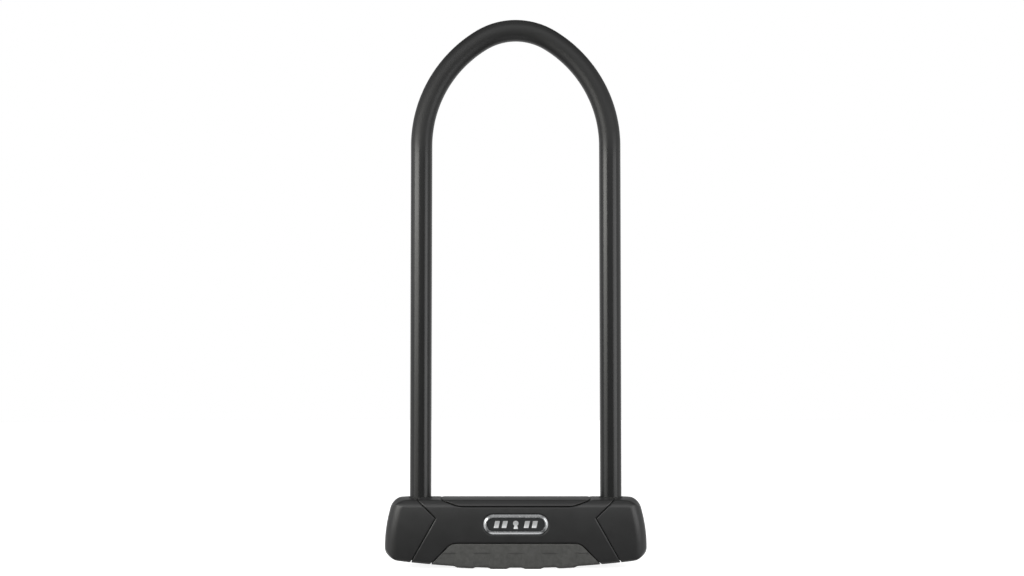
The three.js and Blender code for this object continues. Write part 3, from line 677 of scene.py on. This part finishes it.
def swept_bar(name, sections):
    """A closed bar through loops, each with its place, its heading and its points."""
    points, count = [], len(sections[0][3])
    for x, z, turn, loop in sections:
        out = np.array([math.cos(turn), 0, math.sin(turn)])
        points.append(np.array([x, 0, z]) + loop[:, :1] * out + loop[:, 1:] * np.array([0, 1, 0]))
    faces = []
    for i in range(len(sections) - 1):
        for j in range(count):
            k = (j + 1) % count
            faces.append([i * count + k, (i + 1) * count + k, (i + 1) * count + j, i * count + j])
    last = (len(sections) - 1) * count
    faces += [list(range(count)), list(range(last, last + count))[::-1]]
    return new_mesh(name, np.concatenate(points), faces)


def shackle_form(name, foot, loop, tip=()):
    """The whole shackle with that section.

    tip lists rises above the foot, and how much narrower the bar is there.
    """
    legs = [(foot + rise, loop * (1 - inset / BAR_HALF)) for rise, inset in tip]
    start = foot + tip[-1][0] + 1 if tip else foot
    legs += [(z, loop) for z in np.linspace(start, ARCH_START_Z, LEG_STATIONS, endpoint=False)]
    right = [(LEG_X, z, 0.0, section) for z, section in legs]
    left = [(-LEG_X, z, math.pi, section) for z, section in legs[::-1]]
    arch = [(x, z, turn, loop) for x, z, turn in arch_stations()]
    return swept_bar(name, right + arch + left)


def box_mesh(name, low, high):
    """A plain box to cut with, which is taken away afterwards."""
    corners = list(itertools.product(*zip(low, high)))
    faces = [[0, 1, 3, 2], [4, 6, 7, 5], [0, 4, 5, 1], [2, 3, 7, 6], [0, 2, 6, 4], [1, 5, 7, 3]]
    return new_mesh(name, corners, faces)


def notch_cutter(side):
    """What the notch for a bolt takes out of a leg, on the side that faces the other leg."""
    inner = LEG_X - BAR_HALF
    ends = sorted((side * (inner - NOTCH["clear"]), side * (inner + NOTCH["depth"])))
    low = (ends[0], -NOTCH["half_width"], NOTCH["low"])
    return box_mesh("notch", low, (ends[1], NOTCH["half_width"], NOTCH["high"]))


def cut_away(piece, cutters):
    """Cuts the boxes out of a piece for good."""
    for cutter in cutters:
        cut = piece.modifiers.new("cut", "BOOLEAN")
        cut.operation = "DIFFERENCE"
        cut.solver = "EXACT"
        cut.object = cutter
    bpy.context.view_layer.update()
    evaluated = piece.evaluated_get(bpy.context.evaluated_depsgraph_get())
    mesh = bpy.data.meshes.new_from_object(evaluated)
    piece.modifiers.clear()
    piece.data = mesh
    for cutter in cutters:
        bpy.data.objects.remove(cutter)


coating = MATERIALS["shackle_coating"]
sleeve = shackle_form("shackle_sleeve_fine", SLEEVE_LOW[2], crowned_square(SLEEVE_HALF))
placed(sleeve, "shackle_sleeve", "shackle", coating)

bar = shackle_form("shackle_bar_fine", BAR_LOW[2], crowned_square(BAR_HALF), TIP)
cut_away(bar, [notch_cutter(-1), notch_cutter(1)])
bar.data.shade_smooth()
for piece in (sleeve, bar):
    piece.data.set_sharp_from_angle(angle=SHARP_ANGLE)
placed(bar, "shackle_bar", "shackle", MATERIALS["shackle_steel"])

# ---------- badge ----------


def oval_ring(name, profile):
    """A closed ring round the badge. Its profile is a list of insets and depths behind its front."""
    arc = np.linspace(-math.pi / 2, math.pi / 2, RING_END_POINTS)
    straight = BADGE_HALF_LENGTH - BADGE_HALF_HEIGHT
    turns = np.concatenate([arc, arc + math.pi])
    middles = np.repeat([straight, -straight], len(arc))
    points = []
    for inset, depth in profile:
        radius = BADGE_HALF_HEIGHT - inset
        for turn, middle in zip(turns, middles):
            x, z = middle + radius * math.cos(turn), BADGE_Z + radius * math.sin(turn)
            points.append((x, RING_LOW[1] + depth, z))
    faces, count = [], len(turns)
    for i in range(len(profile)):
        here, ahead = i * count, (i + 1) % len(profile) * count
        for j in range(count):
            k = (j + 1) % count
            faces.append([here + j, here + k, ahead + k, ahead + j])
    return new_mesh(name, points, faces)


def badge_ground(x, y, z):
    """The plate inside the badge's ring."""
    return both(oval(x, z, RING_WIDTH + PLATE_GAP), slab(y, PLATE_FACE, PLATE_BACK), PLATE_EDGE)


def badge_emblem(x, y, z):
    """A plain keyhole between two pairs of slanted bars, slightly hollow from top to bottom."""
    height = z - BADGE_Z
    head = np.hypot(x, height - KEYHOLE["head_rise"]) - KEYHOLE["head"]
    sides = np.abs(x) - KEYHOLE["foot_half"] + KEYHOLE["flare"] * height
    foot = both(sides, slab(height, -KEYHOLE["drop"], 0), EMBLEM_EDGE)
    marks = np.minimum(head, foot)
    for middle in MARK_MIDDLES:
        for sign in (-1, 1):
            lean = x - sign * middle - height * MARK_LEAN
            mark = rounded_box(lean, height, MARK_HALF_WIDTH, MARK_HALF_HEIGHT, EMBLEM_EDGE)
            marks = np.minimum(marks, mark)
    front = PLATE_LOW[1] + (KEYHOLE["drop"] ** 2 - height**2) / (2 * EMBLEM_HOLLOW)
    return both(marks, slab(y, front, PLATE_FACE + PLATE_GAP), EMBLEM_FACE_EDGE)


silver = MATERIALS["badge_silver"]
ring_back = RING_HIGH[1] - RING_LOW[1]
ring_profile = [
    (0, ring_back),
    (0, RING_SLOPE_DROP + RING_EDGE),
    (RING_EDGE, RING_SLOPE_DROP),
    (RING_SLOPE_WIDTH - RING_EDGE, RING_EDGE),
    (RING_SLOPE_WIDTH + RING_EDGE, 0),
    (RING_WIDTH - RING_EDGE, 0),
    (RING_WIDTH, RING_EDGE),
    (RING_WIDTH, ring_back),
]
ring = oval_ring("badge_ring_fine", ring_profile)
ring.data.set_sharp_from_angle(angle=SHARP_ANGLE)
placed(ring, "badge_ring", "crossbar", silver)
ground = MATERIALS["badge_plate"]
moulded("badge_plate", badge_ground, PLATE_CELL, "crossbar", ground)
emblem_low = np.array([-EMBLEM_HALF[0], PLATE_LOW[1] - FIT, BADGE_Z - EMBLEM_HALF[1]])
emblem_high = np.array([EMBLEM_HALF[0], PLATE_BACK + FIT, BADGE_Z + EMBLEM_HALF[1]])
emblem = new_mesh("badge_emblem", *surface_net(badge_emblem, emblem_low, emblem_high, EMBLEM_CELL))
paint = metal("emblem_silver", (0.8, 0.81, 0.82), 0.4, 3.0, 0.002, 0.05)
paint.node_tree.nodes["Principled BSDF"].inputs["Metallic"].default_value = 0.8
emblem.data.materials.append(paint)
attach(emblem, "crossbar")

# ---------- seals, screws, bezel and shutter ----------


def leg_seal(side):
    """A gasket: a flange under the covers, and a lip around the leg that rises in a bead."""

    def form(x, y, z):
        leg = x - side * LEG_X
        flange = rounded_box(leg, y, SEAL_HIGH[1], SEAL_HIGH[1], SEAL_CORNER)
        flange = both(flange, z - SEAL_COVER_Z + SEAL["under"], SEAL["under"])
        lip = both(crowned(leg, y, SEAL_HOLE_HALF - SEAL["gap"]), z - SEAL_TOP, SEAL["bead"])
        gasket = both(np.minimum(flange, lip), SEAL_LOW[2] - z)
        return without(gasket, crowned(leg, y, SLEEVE_HALF + SEAL["play"]), SEAL["gap"])

    return form


def cap_screw(side):
    """A round head with a hexagon socket, on its shank."""
    head_half = (SCREW_HIGH[0] - SCREW_LOW[0]) / 2
    base = SCREW_LOW[2]

    def form(x, y, z):
        p = x - side * CAP_SCREW_X
        reach = np.hypot(p, y)
        head = both(reach - head_half, slab(z, base, base + SCREW["head"]), SCREW["round"])
        shank = slab(z, base + SCREW["shank_from"], SCREW_HIGH[2])
        shank = both(reach - SCREW["shank_half"], shank, SCREW["round"])
        flats = [np.abs(p * math.cos(turn) + y * math.sin(turn)) for turn in HEXAGON_TURNS]
        across_flats = np.maximum.reduce(flats) - SCREW["socket_half"]
        socket = both(across_flats, z - base - SCREW["socket_depth"])
        return without(np.minimum(head, shank), socket, SCREW["socket_edge"])

    return form


def keyhole_bezel(x, y, z):
    """A plate with rounded edges, the keyhole through it, and behind it the shutter's track."""
    middle = (BEZEL_LOW + BEZEL_HIGH) / 2
    half = (BEZEL_HIGH - BEZEL_LOW) / 2
    outline = rounded_box(x - middle[0], y, half[0], half[1], BEZEL_CORNER)
    plate = both(outline, slab(z, BEZEL_LOW[2], BEZEL_HIGH[2]), BEZEL["edge"])
    hole = rounded_box(x, y, *BEZEL["hole"], BEZEL["hole_corner"])
    floor = SHUTTER_LOW[2] - FIT
    track_low, track_high = BEZEL["track"]
    track_half = BEZEL["track_half"]
    track = block(x, y, z, (track_low, -track_half, floor), (track_high, track_half, FAR))
    channel_end, channel_half = BEZEL["channel"]
    channel = block(x, y, z, (0, -channel_half, floor), (channel_end, channel_half, FAR))
    guard = both(np.hypot(x, y) - BEZEL["guard"], BEZEL["guard_z"] - z)
    behind = either(either(track, channel), guard)
    return without(without(plate, hole, BEZEL["hole_edge"]), behind, BEZEL["inner_edge"])


def keyhole_shutter(x, y, z):
    """A flat shutter with three finger grooves, and a tab that its spring pushes on."""
    middle = (SHUTTER_LOW + SHUTTER_HIGH) / 2
    half = (SHUTTER_HIGH - SHUTTER_LOW) / 2
    base = SHUTTER_LOW[2]
    outline = rounded_box(x - middle[0], y, half[0], half[1], SHUTTER["corner"])
    leaf = both(outline, slab(z, base, base + SHUTTER["leaf"]), SHUTTER["edge"])
    tab = both(outline, SHUTTER_HIGH[0] - SHUTTER["tab"] - x)
    tab = both(tab, slab(z, base + SHUTTER["tab"], SHUTTER_HIGH[2]), SHUTTER["edge"])
    grooves = FAR
    for place in GROOVE["places"]:
        past_end = np.maximum(np.abs(y) - GROOVE["half_length"], 0)
        groove = np.hypot(np.hypot(x - place, past_end), z - base) - GROOVE["radius"]
        grooves = np.minimum(grooves, groove)
    return without(np.minimum(leaf, tab), grooves, GROOVE["edge"])


def shutter_spring():
    """A coil of round wire between the shutter's tab and the far end of its track."""
    radius = (SPRING_HIGH[1] - SPRING_LOW[1]) / 2 - SPRING_WIRE
    middle_z = (SPRING_LOW[2] + SPRING_HIGH[2]) / 2
    start, end = SPRING_LOW[0] + SPRING_WIRE, SPRING_HIGH[0] - SPRING_WIRE
    turns = np.linspace(0, 2 * math.pi * SPRING_TURNS, SPRING_STATIONS * SPRING_TURNS + 1)
    sides = np.linspace(0, 2 * math.pi, SPRING_SIDES, endpoint=False)
    rise = (end - start) / (2 * math.pi * SPRING_TURNS)
    points = []
    for turn in turns:
        out = np.array([0, math.cos(turn), math.sin(turn)])
        ahead = np.array([rise, -radius * math.sin(turn), radius * math.cos(turn)])
        across = np.cross(ahead / np.linalg.norm(ahead), out)
        middle = np.array([start + rise * turn, 0, middle_z]) + radius * out
        for side in sides:
            points.append(middle + SPRING_WIRE * (math.cos(side) * out + math.sin(side) * across))
    count, last = len(sides), (len(turns) - 1) * len(sides)
    faces = [list(range(count))[::-1], list(range(last, last + count))]
    for i in range(len(turns) - 1):
        for j in range(count):
            k = (j + 1) % count
            faces.append([i * count + j, i * count + k, (i + 1) * count + k, (i + 1) * count + j])
    return new_mesh("shutter_spring_fine", points, faces)


rubber = MATERIALS["seal_rubber"]
steel = MATERIALS["bright_steel"]
nylon = MATERIALS["nylon"]
for side, name in ((-1, "left"), (1, "right")):
    moulded(name + "_leg_seal", leg_seal(side), SEAL_CELL, "crossbar", rubber)
    screw = cap_screw(side)
    moulded(name + "_cap_screw", screw, SCREW_CELL, "crossbar", steel, 0.3)
moulded("keyhole_bezel", keyhole_bezel, BEZEL_CELL, "crossbar", nylon)
moulded("keyhole_shutter", keyhole_shutter, SHUTTER_CELL, "shutter", nylon)

spring = placed(shutter_spring(), "shutter_spring", "crossbar", steel)
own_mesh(spring)

# ---------- camera, light and floor, in metres ----------

CAMERA_PLACE = (-0.0024, -1.052, 0.1265)
CAMERA_RISE = math.radians(2.87)
SENSOR_WIDTH = 36.0
LENS = 57.06
WARM = (1.0, 0.995, 0.95)
PLAIN = (1.0, 1.0, 1.0)
LIGHT_DISTANCE = 0.6

# Name, degrees from the camera's side, lowest and highest height, width, radiance and colour.
SOFTBOXES = (
    ("left_top", -45, 0.25, 0.385, 0.48, 5.6, WARM),
    ("left_middle", -45, 0.13, 0.25, 0.48, 2.6, WARM),
    ("left_low", -45, 0.0, 0.13, 0.48, 1.2, WARM),
    ("left_side", -80, 0.2, 0.385, 0.3, 0.6, WARM),
    ("left_foot", -45, -0.25, 0.0, 0.48, 0.25, WARM),
    ("right", 45, 0.0, 0.365, 0.38, 2.1, PLAIN),
    ("right_foot", 45, -0.25, 0.0, 0.38, 0.4, PLAIN),
)
OVERHEAD_PLACE = (0, -0.1, 1.4)
OVERHEAD_SIZE = (1.2, 1.0)
OVERHEAD_POWER = 0.8

# The world's light by the direction it comes from: where it starts and ends to change, and its
# level at both.
PAPER_BY_Y = (0.3, 0.9, 0.0, 1.0)
LOW_PAPER_BY_Z = (-0.04, 0.12, 1.0, 0.28)
SIDE_PAPER_BY_X = (0.25, 0.6, 0.0, 1.0)
SIDES_BY_X = (0.5, 1.0, 0.0, 0.8)
PANEL_BY_X = (0.15, 0.55, 1.0, 0.45)
ROOM_BY_Y = (-0.1, 0.5, 2.0, 0.3)

# Light of the room in front, by the height of its direction: 1 is straight up.
ROOM = (
    (-1.0, 0.95),
    (-0.92, 0.95),
    (-0.82, 0.12),
    (-0.2, 0.14),
    (-0.05, 0.22),
    (0.05, 0.27),
    (0.12, 0.3),
    (0.2, 0.9),
    (0.33, 1.7),
    (0.45, 2.0),
    (0.6, 1.5),
    (0.75, 0.5),
    (0.88, 0.3),
    (1.0, 0.3),
)
FLOOR_RADIUS = 3.0
FLOOR_SIDES = 96
FLOOR_GLOW = 0.85

scene = bpy.context.scene
scene.view_settings.view_transform = "Standard"

camera = bpy.data.objects.new("camera", bpy.data.cameras.new("camera"))
bpy.context.collection.objects.link(camera)
camera.location = CAMERA_PLACE
camera.rotation_euler = (math.radians(90) + CAMERA_RISE, 0, 0)
camera.data.sensor_width = SENSOR_WIDTH
camera.data.lens = LENS
scene.camera = camera


def area_light(name, place, aim, width, height, power, colour=PLAIN):
    """A rectangular light that faces aim."""
    data = bpy.data.lights.new(name, "AREA")
    data.shape = "RECTANGLE"
    data.size = width
    data.size_y = height
    data.energy = power
    data.color = colour
    light = bpy.data.objects.new(name, data)
    light.location = place
    light.rotation_euler = (Vector(aim) - Vector(place)).to_track_quat("-Z", "Y").to_euler()
    bpy.context.collection.objects.link(light)
    return light


def softbox(name, azimuth, low, high, width, radiance, colour):
    """An upright softbox that faces the part's middle, from height low to height high."""
    turn = math.radians(azimuth)
    out = LIGHT_DISTANCE * Vector((math.sin(turn), -math.cos(turn), 0))
    place = Vector((out.x, out.y, (low + high) / 2))
    power = radiance * math.pi * width * (high - low)
    return area_light(name, place, (0, 0, place.z), width, high - low, power, colour)


for box_settings in SOFTBOXES:
    softbox(*box_settings)
area_light("overhead", OVERHEAD_PLACE, (0, 0, 0), *OVERHEAD_SIZE, OVERHEAD_POWER)


def studio_world():
    """White paper behind, beneath and in the camera's sight, and a dim room in front."""
    made = bpy.data.worlds.new("studio")
    made.use_nodes = True
    tree = made.node_tree
    place = tree.nodes.new("ShaderNodeTexCoord")
    parts = tree.nodes.new("ShaderNodeSeparateXYZ")
    tree.links.new(place.outputs["Generated"], parts.inputs["Vector"])
    sideways = math_node(tree, "ABSOLUTE", parts.outputs["X"], 0.0)
    paper = eased(tree, parts.outputs["Y"], *PAPER_BY_Y)
    low_paper = eased(tree, parts.outputs["Z"], *LOW_PAPER_BY_Z)
    side_paper = eased(tree, sideways, *SIDE_PAPER_BY_X)
    paper_reach = math_node(tree, "MAXIMUM", low_paper, side_paper)
    behind = math_node(tree, "MULTIPLY", paper, paper_reach)
    sides = eased(tree, sideways, *SIDES_BY_X)
    panel_width = eased(tree, sideways, *PANEL_BY_X)
    height = eased(tree, parts.outputs["Z"], -1, 1, 0.0, 1.0, "LINEAR")
    room = tree.nodes.new("ShaderNodeValToRGB")
    stops = room.color_ramp.elements
    while len(stops) < len(ROOM):
        stops.new(0.5)
    for stop, (at, level) in zip(stops, ROOM):
        stop.position = (at + 1) / 2
        stop.color = (level / 2, level / 2, level / 2, 1)
    tree.links.new(height, room.inputs["Fac"])
    front = math_node(tree, "MULTIPLY", room.outputs["Color"], panel_width)
    room_reach = eased(tree, parts.outputs["Y"], *ROOM_BY_Y)
    front = math_node(tree, "MULTIPLY", front, room_reach)
    light = math_node(tree, "MAXIMUM", math_node(tree, "MAXIMUM", behind, front), sides)
    path = tree.nodes.new("ShaderNodeLightPath")
    seen = math_node(tree, "MAXIMUM", light, path.outputs["Is Camera Ray"])
    tree.links.new(seen, tree.nodes["Background"].inputs["Strength"])
    tree.nodes["Background"].inputs["Color"].default_value = (1, 1, 1, 1)
    return made


scene.world = studio_world()

floor_mesh = bpy.data.meshes.new("floor")
floor_turns = np.linspace(0, 2 * math.pi, FLOOR_SIDES, endpoint=False)
rim = [(FLOOR_RADIUS * math.cos(turn), FLOOR_RADIUS * math.sin(turn), 0) for turn in floor_turns]
floor_mesh.from_pydata(rim, [], [list(range(FLOOR_SIDES))])
floor = bpy.data.objects.new("floor", floor_mesh)
bpy.context.collection.objects.link(floor)
floor_material, floor_tree, floor_shader = new_material("floor_paper")
floor_shader.inputs["Base Color"].default_value = (0.8, 0.8, 0.8, 1)
floor_shader.inputs["Roughness"].default_value = 0.9
floor_shader.inputs["Emission Color"].default_value = (1, 1, 1, 1)
path = floor_tree.nodes.new("ShaderNodeLightPath")
glow = math_node(floor_tree, "MULTIPLY", path.outputs["Is Camera Ray"], FLOOR_GLOW)
floor_tree.links.new(glow, floor_shader.inputs["Emission Strength"])
floor_mesh.materials.append(floor_material)
floor.visible_glossy = False
floor.visible_shadow = False
floor.visible_diffuse = False

# ---------- the end --------------------

bpy.context.view_layer.update()
